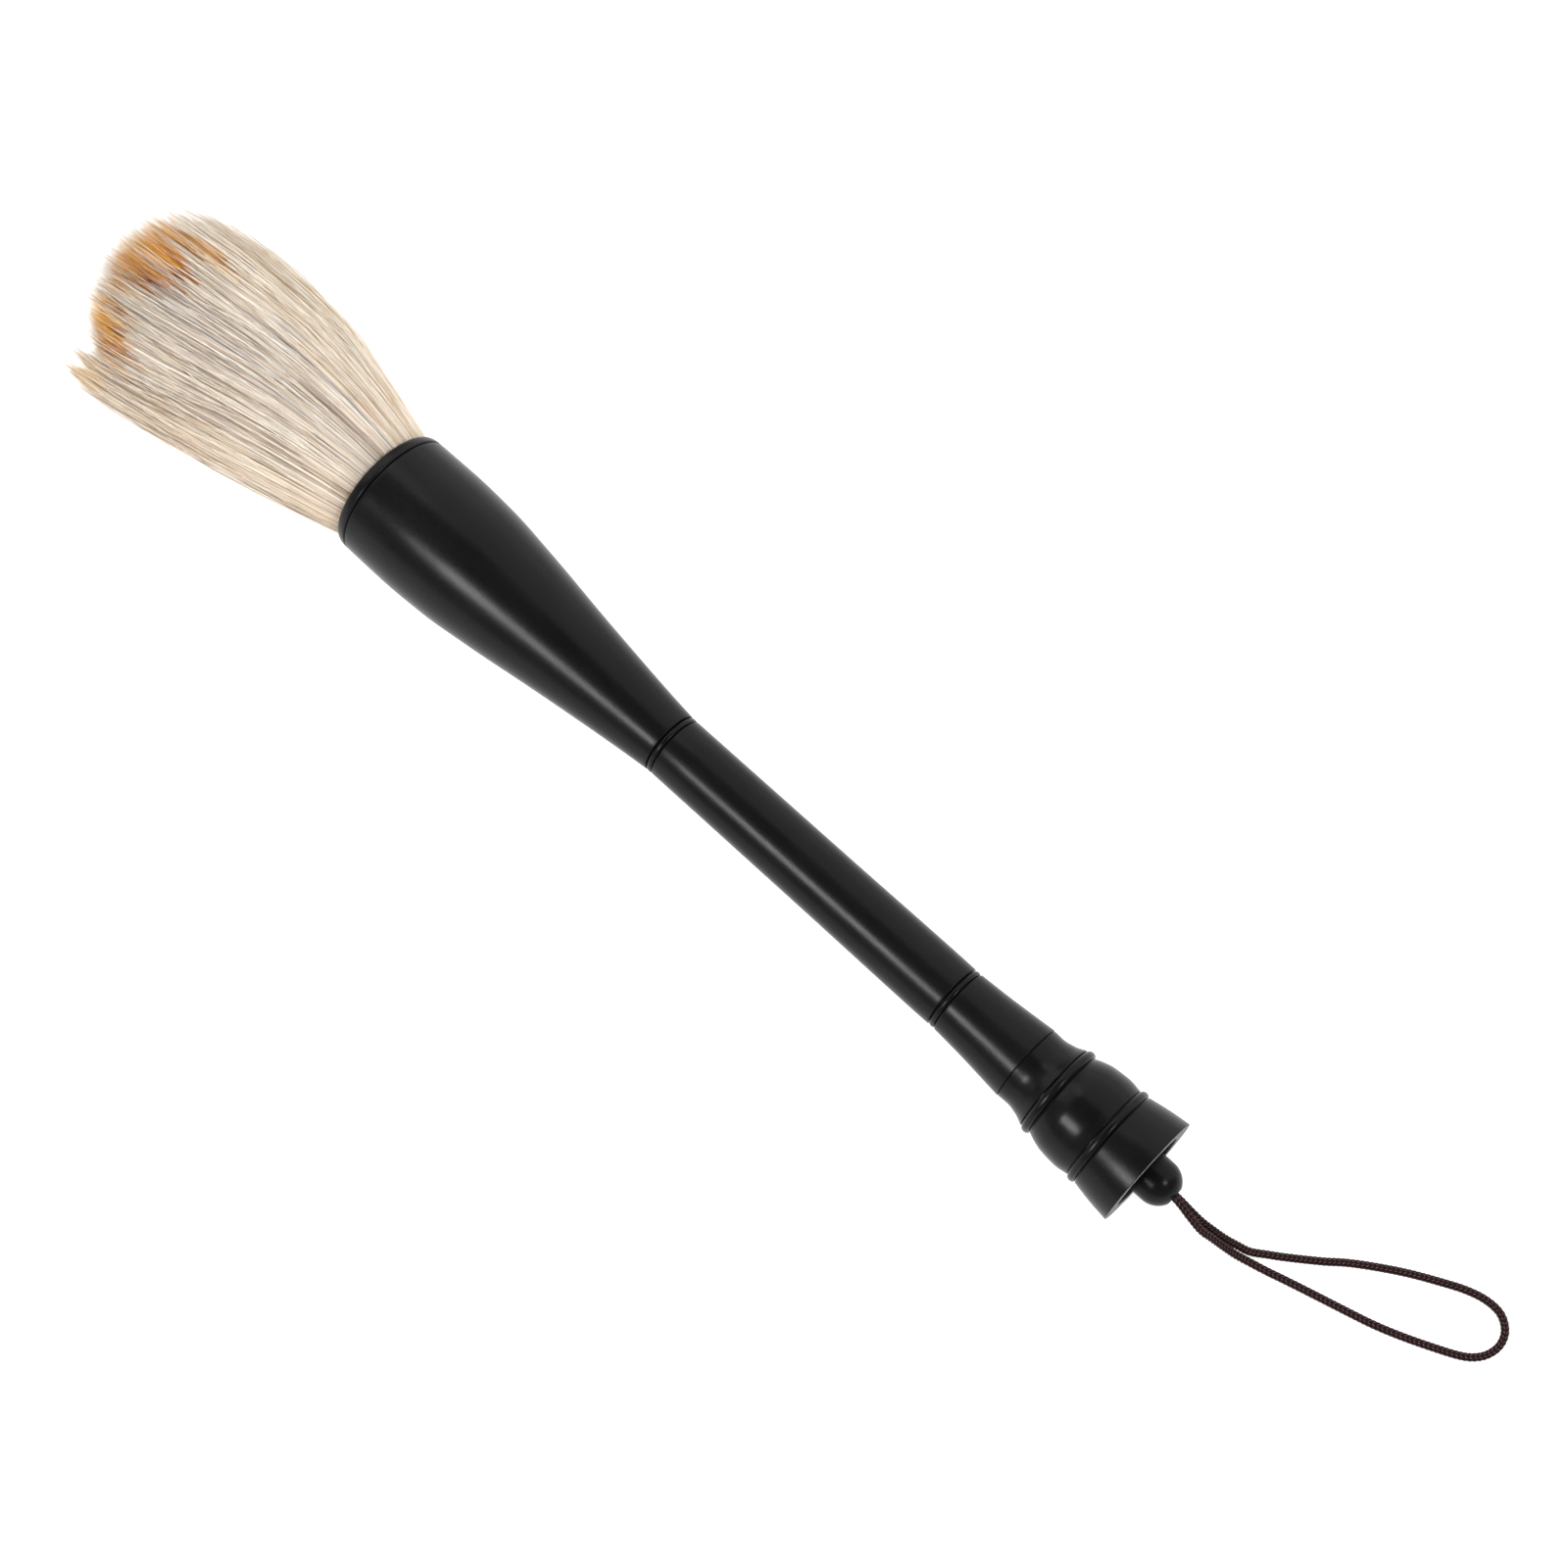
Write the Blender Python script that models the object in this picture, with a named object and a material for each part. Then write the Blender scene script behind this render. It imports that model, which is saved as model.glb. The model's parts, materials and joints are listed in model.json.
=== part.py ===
"""Large goat-hair calligraphy brush with a turned black handle and a hanging cord.

The brush lies on a table: it rests on the tuft's underside, the ferrule's widest ring and the
rim of the end bell. X runs along the brush from the tuft (-X) to the tail (+X) and Z is up.
The origin is at the middle of the brush's box, without the cord, on the table.

Every turned piece is drawn as an outline of (station, radius) points in millimetres. Station 0 is
the bell's end face, and stations grow along the axis towards the mouth of the ferrule.
"""

from math import atan, cos, pi, radians, sin, sqrt

import bmesh
import bpy
from mathutils import Vector

MM = 0.001

# Driving dimensions, in millimetres.
GAP = 0.3               # clearance between pieces that touch on the real brush
BELL_RADIUS = 13.35     # rim of the end bell
FERRULE_RADIUS = 15.96  # widest ring of the ferrule
WIDEST_STATION = 215.0
MOUTH_STATION = 228.9   # front edge of the ferrule's lip
CORE_TIP = 323.0        # tip of the longest hairs
DOWEL_RADIUS = 3.2
BORE_RADIUS = DOWEL_RADIUS + GAP
BEAD_RADIUS = 5.17
CORD_RADIUS = 0.9
CORD_HOLE = 2.2         # takes both strands of the cord side by side
KNOT_CHAMBER = 4.8

# Where the pieces of the handle meet, each joint with a gap of its own.
BELL_END = 9.75
BULB_START, BULB_END = 12.2, 23.6
COVE_START, COVE_END = 26.2, 33.8
CONE_START, CONE_END = 34.1, 53.5
SHAFT_START, SHAFT_END = 55.4, 137.6
FERRULE_START, FERRULE_END = 139.5, 225.9
ROOT_STATION = 196.7    # back end of the hair, inside the ferrule

# How finely round things are cut, and how near two points have to be to become one.
ROUND = 32
HIDDEN_ROUND = 20
HAIR_ROUND = 24
WELD_DISTANCE = 0.001

# The handle's tail end is slimmer than the ferrule, so the axis slopes down towards it.
TILT = atan((FERRULE_RADIUS - BELL_RADIUS) / WIDEST_STATION)
AXIS_HEIGHT = BELL_RADIUS * cos(TILT)


def axis_height(station):
    """Height of the brush's axis above the table, in millimetres."""
    return AXIS_HEIGHT + station * sin(TILT)


# ---------------------------------------------------------------- outlines


def fair(stations, steps):
    """A smooth curve through rows of (station, value, ...), with no overshoot between them."""
    rows = [tuple(row) for row in stations]
    spans = [b[0] - a[0] for a, b in zip(rows, rows[1:])]
    columns = range(1, len(rows[0]))
    tangents = [[0.0] * len(rows[0]) for _ in rows]
    for c in columns:
        slopes = [(b[c] - a[c]) / h for a, b, h in zip(rows, rows[1:], spans)]
        tangents[0][c], tangents[-1][c] = slopes[0], slopes[-1]
        for i, (before, after) in enumerate(zip(slopes, slopes[1:]), start=1):
            if before * after > 0:
                tangents[i][c] = 2 * before * after / (before + after)
    curve = [rows[0]]
    for i, h in enumerate(spans):
        for step in range(1, steps + 1):
            t = step / steps
            ends = (2 * t**3 - 3 * t**2 + 1, t**3 - 2 * t**2 + t, 3 * t**2 - 2 * t**3, t**3 - t**2)
            point = [rows[i][0] + h * t]
            for c in columns:
                point.append(
                    ends[0] * rows[i][c] + ends[1] * h * tangents[i][c]
                    + ends[2] * rows[i + 1][c] + ends[3] * h * tangents[i + 1][c]
                )
            curve.append(tuple(point))
    return curve


def rounded_band(start, end, base, crest):
    """A ring's outer edge: half of a rounded bead from start to end, crest tall."""
    middle, half = (start + end) / 2, (end - start) / 2
    steps = 4
    points = []
    for i in range(steps + 1):
        angle = pi * i / steps
        points.append((middle - half * cos(angle), base + (crest - base) * sin(angle)))
    return points


# ---------------------------------------------------------------- materials


def material(name, colour, roughness, coat=0.0):
    made = bpy.data.materials.new(name)
    made.use_nodes = True
    shader = made.node_tree.nodes["Principled BSDF"]
    shader.inputs["Base Color"].default_value = (*colour, 1.0)
    shader.inputs["Roughness"].default_value = roughness
    shader.inputs["Metallic"].default_value = 0.0
    shader.inputs["Coat Weight"].default_value = coat
    return made


def make_materials():
    return {
        "satin_black": material("satin_black", (0.012, 0.012, 0.013), 0.32),
        "polished_black": material("polished_black", (0.010, 0.010, 0.011), 0.12, coat=0.5),
        "dowel_wood": material("dowel_wood", (0.50, 0.33, 0.18), 0.6),
        "goat_hair": material("goat_hair", (0.72, 0.61, 0.48), 0.65),
        "core_hair": material("core_hair", (0.66, 0.45, 0.22), 0.65),
        "binding_thread": material("binding_thread", (0.62, 0.55, 0.42), 0.8),
        "rosin": material("rosin", (0.30, 0.15, 0.05), 0.35),
        "braided_cord": material("braided_cord", (0.045, 0.022, 0.018), 0.6),
    }


# ---------------------------------------------------------------- building blocks


def add_object(name, mesh, parent, finish):
    made = bpy.data.objects.new(name, mesh)
    made.parent = parent
    made.data.materials.append(finish)
    bpy.context.scene.collection.objects.link(made)
    return made


def shade(mesh):
    mesh.shade_smooth()
    mesh.set_sharp_from_angle(angle=radians(35))


def turn(name, outline, finish, axis, segments=ROUND):
    """A piece turned on the brush's axis. Its outline is closed, or starts and ends on the axis."""
    closed = outline[0][1] > 0
    mesh = bpy.data.meshes.new(name)
    bm = bmesh.new()
    points = [bm.verts.new((-station * MM, 0.0, radius * MM)) for station, radius in outline]
    edges = [bm.edges.new(pair) for pair in zip(points, points[1:])]
    if closed:
        edges.append(bm.edges.new((points[-1], points[0])))
    bmesh.ops.spin(
        bm, geom=points + edges, cent=(0, 0, 0), axis=(1, 0, 0), angle=2 * pi,
        steps=segments, use_merge=True,
    )
    bmesh.ops.remove_doubles(bm, verts=bm.verts, dist=WELD_DISTANCE * MM)
    bmesh.ops.recalc_face_normals(bm, faces=bm.faces)
    bm.to_mesh(mesh)
    bm.free()
    shade(mesh)
    return add_object(name, mesh, axis, finish)


def loft(name, rings, finish, parent, sleeve=False):
    """A skin over rings of points. A sleeve's last ring joins its first, other skins get end caps."""
    mesh = bpy.data.meshes.new(name)
    bm = bmesh.new()
    loops = [[bm.verts.new(Vector(point) * MM) for point in ring] for ring in rings]
    pairs = list(zip(loops, loops[1:]))
    if sleeve:
        pairs.append((loops[-1], loops[0]))
    else:
        bm.faces.new(loops[0])
        bm.faces.new(reversed(loops[-1]))
    for one, other in pairs:
        for i in range(len(one)):
            j = (i + 1) % len(one)
            bm.faces.new((one[i], other[i], other[j], one[j]))
    bmesh.ops.recalc_face_normals(bm, faces=bm.faces)
    bm.to_mesh(mesh)
    bm.free()
    shade(mesh)
    return add_object(name, mesh, parent, finish)


def tube(name, points, cyclic, finish, parent):
    """A round cord through the points, with filled ends unless it is cyclic."""
    curve = bpy.data.curves.new(name, "CURVE")
    curve.dimensions = "3D"
    curve.fill_mode = "FULL"
    curve.bevel_depth = CORD_RADIUS * MM
    curve.bevel_resolution = 2
    curve.use_fill_caps = not cyclic
    spline = curve.splines.new("POLY")
    spline.points.add(len(points) - 1)
    for slot, point in zip(spline.points, points):
        slot.co = (*(Vector(point) * MM), 1.0)
    spline.use_cyclic_u = cyclic
    return add_object(name, curve, parent, finish)


# ---------------------------------------------------------------- ferrule and shaft


def make_ferrule(black, axis):
    """The flared ferrule: a socket for the hair in front and a blind bore for the dowel behind."""
    outside = fair(
        [(FERRULE_START, 7.6), (148.0, 8.5), (168.0, 11.0), (191.0, 14.2), (203.0, 15.5),
         (WIDEST_STATION, FERRULE_RADIUS), (FERRULE_END, 15.85)],
        steps=2,
    )
    outline = [(160.5, 0.0), (160.5, BORE_RADIUS), (FERRULE_START, BORE_RADIUS)]
    outline += outside
    outline += [(FERRULE_END, 14.8), (221.0, 14.8), (221.0, 13.9), (193.2, 11.6), (193.2, 0.0)]
    turn("ferrule", outline, black, axis)


def make_mouth_ring(black, axis):
    """The lip around the hair, with a spigot that sits in the ferrule's counterbore."""
    back = FERRULE_END + GAP
    outline = [
        (221.0 + GAP, 13.4), (221.0 + GAP, 14.5), (back, 14.5), (back, 15.6), (back + 0.3, 15.85),
        (227.7, 15.75), (228.5, 15.45), (MOUTH_STATION, 15.0), (MOUTH_STATION, 14.5), (227.0, 13.7),
    ]
    turn("mouth_ring", outline, black, axis)


def make_handle_ring(name, start, end, bore, base, crest, black, axis):
    """A thin turned ring held between two pieces of the handle."""
    outline = [(start, bore)] + rounded_band(start, end, base, crest) + [(end, bore)]
    turn(name, outline, black, axis)


def make_shaft(black, axis):
    """The slightly tapered grip, bored at both ends for the dowels."""
    bore_depth = 20.0
    rear, front = SHAFT_START + bore_depth, SHAFT_END - bore_depth
    outline = [(rear, 0.0), (rear, BORE_RADIUS), (SHAFT_START, BORE_RADIUS)]
    outline += fair([(SHAFT_START, 7.7), (60.0, 7.75), (92.0, 7.62), (SHAFT_END, 7.55)], steps=1)
    outline += [(SHAFT_END, BORE_RADIUS), (front, BORE_RADIUS), (front, 0.0)]
    turn("shaft", outline, black, axis)


def make_dowel(name, start, end, wood, axis):
    """A plain wooden pin with chamfered ends, glued into the bores that it joins."""
    chamfer = 0.6
    outline = [
        (start, 0.0), (start, DOWEL_RADIUS - chamfer), (start + chamfer, DOWEL_RADIUS),
        (end - chamfer, DOWEL_RADIUS), (end, DOWEL_RADIUS - chamfer), (end, 0.0),
    ]
    turn(name, outline, wood, axis, HIDDEN_ROUND)


# ---------------------------------------------------------------- tail


def make_tail_cone(black, axis):
    outline = [(CONE_START, BORE_RADIUS)]
    outline += fair([(CONE_START, 9.2), (39.3, 8.72), (46.0, 8.15), (CONE_END, 7.7)], steps=2)
    outline += [(CONE_END, BORE_RADIUS)]
    turn("tail_cone", outline, black, axis)


def make_tail_cove(black, axis):
    outline = [(COVE_START, BORE_RADIUS)]
    outline += fair([(COVE_START, 10.55), (28.6, 9.55), (31.5, 9.03), (COVE_END, 9.1)], steps=2)
    outline += [(COVE_END, BORE_RADIUS)]
    turn("tail_cove", outline, black, axis)


def make_tail_bulb(black, axis):
    """The bulb, counterbored for the bell's tenon, with room behind it for the knot."""
    outline = fair(
        [(BULB_START, 11.65), (15.3, 12.05), (19.5, 11.75), (22.0, 11.1), (BULB_END, 10.45)],
        steps=2,
    )
    outline += [
        (BULB_END, BORE_RADIUS), (16.7, BORE_RADIUS), (16.7, KNOT_CHAMBER), (14.5, KNOT_CHAMBER),
        (14.5, 6.5), (BULB_START, 6.5),
    ]
    turn("tail_bulb", outline, black, axis)


def make_end_bell(black, axis):
    """The flared end: a recess around the bead, a seat for its spigot, and a tenon into the bulb."""
    outline = fair([(0.0, BELL_RADIUS), (4.4, 12.83), (BELL_END, 11.9)], steps=2)
    outline += [
        (BELL_END, 6.2), (14.2, 6.2), (14.2, KNOT_CHAMBER), (10.2, KNOT_CHAMBER),
        (10.2, CORD_HOLE), (8.4, CORD_HOLE), (8.4, 4.3), (6.2, 4.3), (6.2, 9.1), (0.0, 9.4),
    ]
    turn("end_bell", outline, black, axis)


def make_cord_bead(black, axis):
    """The domed bead that turns on its spigot in the bell, with the cord through its middle."""
    dome_centre = -2.9
    rim = sqrt(BEAD_RADIUS**2 - CORD_HOLE**2)
    sweep = atan(CORD_HOLE / rim)
    steps = 5
    outline = [(8.1, CORD_HOLE)]
    for i in range(steps + 1):
        angle = sweep + (pi / 2 - sweep) * i / steps
        outline.append((dome_centre - BEAD_RADIUS * cos(angle), BEAD_RADIUS * sin(angle)))
    outline += [(5.9, BEAD_RADIUS), (5.9, 3.95), (8.1, 3.95)]
    turn("cord_bead", outline, black, axis, HAIR_ROUND)


# ---------------------------------------------------------------- hair

# Station, then the tuft's reach towards -Y, towards +Y and upwards from the axis.
TUFT_SHAPE = [
    (ROOT_STATION, 9.9, 9.9, 9.9), (206.3, 9.9, 9.9, 9.9), (213.0, 12.4, 12.4, 12.4),
    (222.0, 13.0, 13.0, 13.0), (229.0, 13.4, 13.4, 13.4), (232.0, 14.9, 14.9, 14.6),
    (247.0, 19.0, 19.0, 17.6), (266.0, 23.4, 23.2, 20.0), (287.0, 27.3, 23.9, 19.6),
    (302.0, 28.4, 22.4, 17.2), (313.0, 24.6, 18.6, 13.0),
]
CORE_SHARE = 0.68       # the core's width over the whole tuft's
MANTLE_FLOOR = 1.6      # thickness of the mantle under the core


def tuft_ring(row, share=1.0, extra=0.0, floor=0.0):
    """One section through the hair, flattened where it would reach below the floor."""
    station, left, right, up = row
    down = (left + right) / 2
    ring = []
    for i in range(HAIR_ROUND):
        angle = 2 * pi * (i + 0.5) / HAIR_ROUND
        reach = right if cos(angle) > 0 else left
        height = up if sin(angle) > 0 else down
        y = (share * reach + extra) * cos(angle)
        z = axis_height(station) + (share * height + extra) * sin(angle)
        ring.append((-station, y, max(z, floor)))
    return ring


def make_tuft(hair, core_hair, table):
    """The mantle of softer hair is a sleeve around a core of longer hair."""
    clearance = 0.5
    outside = [tuft_ring(row) for row in fair(TUFT_SHAPE, steps=2)]
    inside = [
        tuft_ring(row, CORE_SHARE, extra=clearance, floor=MANTLE_FLOOR)
        for row in reversed(TUFT_SHAPE)
    ]
    loft("tuft_mantle", outside + inside, hair, table, sleeve=True)

    floor = MANTLE_FLOOR + clearance
    core = [tuft_ring(row, CORE_SHARE, floor=floor) for row in TUFT_SHAPE]
    last = TUFT_SHAPE[-1]
    for part, width in ((0.5, 0.92), (1.0, 0.6)):
        station = last[0] + part * (CORE_TIP - last[0])
        core.append(tuft_ring((station, *last[1:]), CORE_SHARE * width, floor=floor))
    loft("tuft_core", core, core_hair, table)


def make_tuft_binding(thread, axis):
    """Four turns of thread around the root of the hair."""
    start, end, turns = 198.0, 205.6, 4
    inner, base, crest = 10.3, 10.9, 11.4
    width = (end - start) / turns
    outline = [(start, inner)]
    for i in range(turns):
        low = start + i * width
        outline += [(low + 0.12 * width, base), (low + 0.5 * width, crest), (low + 0.88 * width, base)]
    outline.append((end, inner))
    turn("tuft_binding", outline, thread, axis, HAIR_ROUND)


def make_root_plug(rosin, axis):
    """The disc of rosin that seals the hair's root."""
    outline = [(193.6, 0.0), (193.6, 10.4), (194.3, 11.0), (195.8, 11.0), (196.4, 10.4), (196.4, 0.0)]
    turn("root_plug", outline, rosin, axis, HAIR_ROUND)


# ---------------------------------------------------------------- cord

# The doubled cord's route, from the knot out through the bead, round the loop and back. X is
# measured from the bell's end face and Z from the table, in millimetres.
CORD_ROUTE = [
    (-9.8, 0.4, 12.6), (-1.0, 0.4, 12.49), (7.5, 0.45, 12.4), (12.2, 0.4, 11.4), (15.0, 0.7, 9.8),
    (17.6, 1.4, 7.9), (20.5, 2.4, 5.4), (23.3, 3.7, 2.9), (26.2, 5.0, 1.15), (29.3, 7.1, 0.95),
    (32.5, 9.3, 0.95), (38.6, 13.9, 0.95), (42.8, 17.4, 0.95), (47.8, 20.9, 0.95),
    (53.4, 24.4, 0.95), (59.6, 27.7, 0.95), (64.7, 30.1, 0.95), (69.1, 31.3, 0.95),
    (73.0, 31.1, 0.95), (75.9, 29.0, 0.95), (77.0, 26.0, 0.95), (76.5, 22.9, 0.95),
    (74.9, 20.4, 0.95), (72.3, 18.4, 0.95), (67.4, 16.0, 0.95), (61.2, 13.3, 0.95),
    (55.3, 11.1, 0.95), (48.8, 9.2, 0.95), (42.3, 7.4, 0.95), (35.6, 5.5, 0.95), (31.6, 4.3, 0.95),
    (27.0, 3.0, 1.3), (24.2, 1.9, 3.0), (21.5, 0.8, 5.8), (18.8, -0.2, 8.6), (16.1, -1.1, 11.0),
    (12.8, -1.1, 13.1), (7.7, -0.45, 14.15), (-1.0, -0.4, 14.25), (-9.8, -0.4, 14.36),
]


def smooth_route(route, spacing):
    """Points every spacing along a Catmull-Rom curve through the route."""
    points = [Vector(p) for p in route]
    padded = [2 * points[0] - points[1]] + points + [2 * points[-1] - points[-2]]
    steps = 16
    dense = [points[0]]
    for before, start, end, after in zip(padded, padded[1:], padded[2:], padded[3:]):
        for step in range(1, steps + 1):
            t = step / steps
            dense.append(0.5 * (
                2 * start + (end - before) * t
                + (2 * before - 5 * start + 4 * end - after) * t**2
                + (3 * start - before - 3 * end + after) * t**3
            ))
    length = sum((b - a).length for a, b in zip(dense, dense[1:]))
    count = round(length / spacing)
    even, walked, wanted = [dense[0]], 0.0, length / count
    for a, b in zip(dense, dense[1:]):
        span = (b - a).length
        while walked + span >= wanted * len(even) and len(even) < count:
            even.append(a.lerp(b, (wanted * len(even) - walked) / span))
        walked += span
    return even + [dense[-1]]


def make_cord_loop(braid, table):
    tube("cord_loop", smooth_route(CORD_ROUTE, spacing=4 * CORD_RADIUS), False, braid, table)


def make_cord_knot(braid, axis):
    """The stopper knot that both strands end in, inside the bell's tenon: a tight trefoil."""
    middle, big, small, steps = 12.6, 2.4, 1.1, 36
    points = []
    for i in range(steps):
        t = 2 * pi * i / steps
        reach = big + small * cos(3 * t)
        points.append((-middle + small * sin(3 * t), reach * cos(2 * t), reach * sin(2 * t)))
    tube("cord_knot", points, True, braid, axis)


# ---------------------------------------------------------------- assembly

CORD_PIECES = ("cord_loop", "cord_knot")


def add_empty(name, parent=None):
    made = bpy.data.objects.new(name, None)
    made.parent = parent
    bpy.context.scene.collection.objects.link(made)
    return made


def centre_on_origin(table):
    """Moves the whole brush so that its box, without the cord, is centred over the origin."""
    bpy.context.view_layer.update()
    corners = [
        made.matrix_world @ Vector(corner)
        for made in bpy.context.scene.objects
        if made.type == "MESH" and made.name not in CORD_PIECES
        for corner in made.bound_box
    ]
    for i in range(2):
        low, high = min(c[i] for c in corners), max(c[i] for c in corners)
        table.location[i] = -(low + high) / 2
    bpy.context.view_layer.update()


def build():
    for old in list(bpy.data.objects):
        bpy.data.objects.remove(old, do_unlink=True)
    looks = make_materials()
    satin, polished, wood = looks["satin_black"], looks["polished_black"], looks["dowel_wood"]
    table = add_empty("table_frame")
    axis = add_empty("brush_axis", table)
    axis.location.z = AXIS_HEIGHT * MM
    axis.rotation_euler.y = TILT

    make_tuft(looks["goat_hair"], looks["core_hair"], table)
    make_tuft_binding(looks["binding_thread"], axis)
    make_root_plug(looks["rosin"], axis)
    make_mouth_ring(satin, axis)
    make_ferrule(satin, axis)
    make_handle_ring("neck_ring", 137.9, 139.2, BORE_RADIUS, 7.15, 7.6, satin, axis)
    make_dowel("front_dowel", 118.0, 160.0, wood, axis)
    make_shaft(satin, axis)
    make_handle_ring("tail_ring", 53.8, 55.1, BORE_RADIUS, 7.25, 7.7, satin, axis)
    make_dowel("rear_dowel", 45.3, 75.0, wood, axis)
    make_tail_cone(satin, axis)
    make_tail_cove(polished, axis)
    make_handle_ring("cove_ring", 23.9, 25.9, BORE_RADIUS, 10.4, 11.15, polished, axis)
    make_dowel("tail_dowel", 17.0, 44.8, wood, axis)
    make_tail_bulb(polished, axis)
    make_handle_ring("bulb_ring", 10.05, 11.9, 6.5, 11.7, 12.3, polished, axis)
    make_end_bell(satin, axis)
    make_cord_bead(polished, axis)
    make_cord_knot(looks["braided_cord"], axis)
    make_cord_loop(looks["braided_cord"], table)
    centre_on_origin(table)


build()
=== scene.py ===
import json
from math import atan, cos, pi, radians, sin, sqrt

import bmesh
import bpy
import numpy as np
from mathutils import Matrix, Vector


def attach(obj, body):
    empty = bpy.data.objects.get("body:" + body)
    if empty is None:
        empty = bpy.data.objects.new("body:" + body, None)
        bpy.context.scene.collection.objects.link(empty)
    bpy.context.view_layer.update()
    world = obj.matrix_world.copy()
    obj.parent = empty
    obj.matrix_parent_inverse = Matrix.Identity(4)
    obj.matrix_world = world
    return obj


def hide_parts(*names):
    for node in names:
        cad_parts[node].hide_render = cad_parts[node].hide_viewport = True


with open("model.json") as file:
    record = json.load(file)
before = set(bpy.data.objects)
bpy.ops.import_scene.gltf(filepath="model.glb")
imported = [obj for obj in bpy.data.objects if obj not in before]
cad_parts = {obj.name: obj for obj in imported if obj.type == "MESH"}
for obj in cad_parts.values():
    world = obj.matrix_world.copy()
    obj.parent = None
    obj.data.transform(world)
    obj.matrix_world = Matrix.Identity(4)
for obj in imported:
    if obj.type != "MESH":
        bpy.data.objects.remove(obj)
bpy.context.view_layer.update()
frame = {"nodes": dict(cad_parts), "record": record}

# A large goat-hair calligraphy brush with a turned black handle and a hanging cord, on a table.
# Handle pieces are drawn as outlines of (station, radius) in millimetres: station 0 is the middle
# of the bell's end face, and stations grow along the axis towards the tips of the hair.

MM = 0.001

bead_joint = frame["record"]["behaviour"]["joints"][0]
END_FACE = Vector(bead_joint["pos_m"])
TAIL = Vector(bead_joint["axis"]).normalized()
SIDE = Vector((0.0, 1.0, 0.0))
UPWARD = TAIL.cross(SIDE)
# Takes millimetres along the axis towards the tail, sideways and upwards to metres in the frame.
AXIS_TURN = Matrix((TAIL, SIDE, UPWARD)).transposed().to_4x4()
AXIS = Matrix.Translation(END_FACE) @ AXIS_TURN @ Matrix.Scale(MM, 4)


# ---------------------------------------------------------------- camera

LENS, SENSOR = 67.5, 36.0
# Millimetres from the middle of the bell's end face to the lens.
CAMERA_PLACE = (39.978, -153.262, 605.477)
# The direction out of the picture, and about the one to its right.
VIEW_BACK = (0.2397, -0.2539, 0.9371)
VIEW_RIGHT = (0.7271, 0.6865, 0.0)


def facing(place, back, right):
    """The matrix of a camera or light at a place, whose own Z points back and X about right."""
    back = Vector(back).normalized()
    right = Vector(right)
    right = (right - right.dot(back) * back).normalized()
    return Matrix.Translation(place) @ Matrix((right, back.cross(right), back)).transposed().to_4x4()


camera_data = bpy.data.cameras.new("camera")
camera_data.lens, camera_data.sensor_width = LENS, SENSOR
camera_data.clip_start, camera_data.clip_end = 0.01, 50.0
camera = bpy.data.objects.new("camera", camera_data)
camera.matrix_world = facing(END_FACE + Vector(CAMERA_PLACE) * MM, VIEW_BACK, VIEW_RIGHT)
bpy.context.scene.collection.objects.link(camera)
bpy.context.scene.camera = camera


# ---------------------------------------------------------------- node helpers


def srgb(red, green, blue):
    """A colour given as display values from 0 to 255, in linear light."""
    parts = [c / 255 for c in (red, green, blue)]
    return tuple(p / 12.92 if p <= 0.04045 else ((p + 0.055) / 1.055) ** 2.4 for p in parts) + (1.0,)


def new_material(name, colour, roughness, specular=0.5):
    made = bpy.data.materials.new(name)
    made.use_nodes = True
    shader = made.node_tree.nodes["Principled BSDF"]
    shader.inputs["Base Color"].default_value = colour
    shader.inputs["Roughness"].default_value = roughness
    shader.inputs["Specular IOR Level"].default_value = specular
    return made, made.node_tree, shader


def noise_along(tree, lengthwise, across, detail=4.0, roughness=0.6):
    """Noise in the object's own space, stretched along the brush. Scales are cells per metre."""
    coordinates = tree.nodes.new("ShaderNodeTexCoord")
    mapping = tree.nodes.new("ShaderNodeMapping")
    mapping.inputs["Scale"].default_value = (lengthwise, across, across)
    noise = tree.nodes.new("ShaderNodeTexNoise")
    noise.inputs["Scale"].default_value = 1.0
    noise.inputs["Detail"].default_value = detail
    noise.inputs["Roughness"].default_value = roughness
    tree.links.new(coordinates.outputs["Object"], mapping.inputs["Vector"])
    tree.links.new(mapping.outputs["Vector"], noise.inputs["Vector"])
    return noise.outputs["Fac"]


def ramp(tree, value, stops):
    """A colour ramp over a value. Stops are (position, colour)."""
    made = tree.nodes.new("ShaderNodeValToRGB")
    elements = made.color_ramp.elements
    while len(elements) < len(stops):
        elements.new(0.5)
    for element, (position, colour) in zip(elements, stops):
        element.position = position
        element.color = colour
    tree.links.new(value, made.inputs["Fac"])
    return made.outputs["Color"]


def spread(tree, value, low, high):
    """Noise, which lies mostly between 0.3 and 0.7, mapped to low..high."""
    made = tree.nodes.new("ShaderNodeMapRange")
    made.inputs["From Min"].default_value, made.inputs["From Max"].default_value = 0.3, 0.7
    made.inputs["To Min"].default_value, made.inputs["To Max"].default_value = low, high
    tree.links.new(value, made.inputs["Value"])
    return made.outputs["Result"]


def bump(tree, shader, height, strength, distance):
    made = tree.nodes.new("ShaderNodeBump")
    made.inputs["Strength"].default_value = strength
    made.inputs["Distance"].default_value = distance
    tree.links.new(height, made.inputs["Height"])
    tree.links.new(made.outputs["Normal"], shader.inputs["Normal"])


# ---------------------------------------------------------------- finishes


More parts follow.
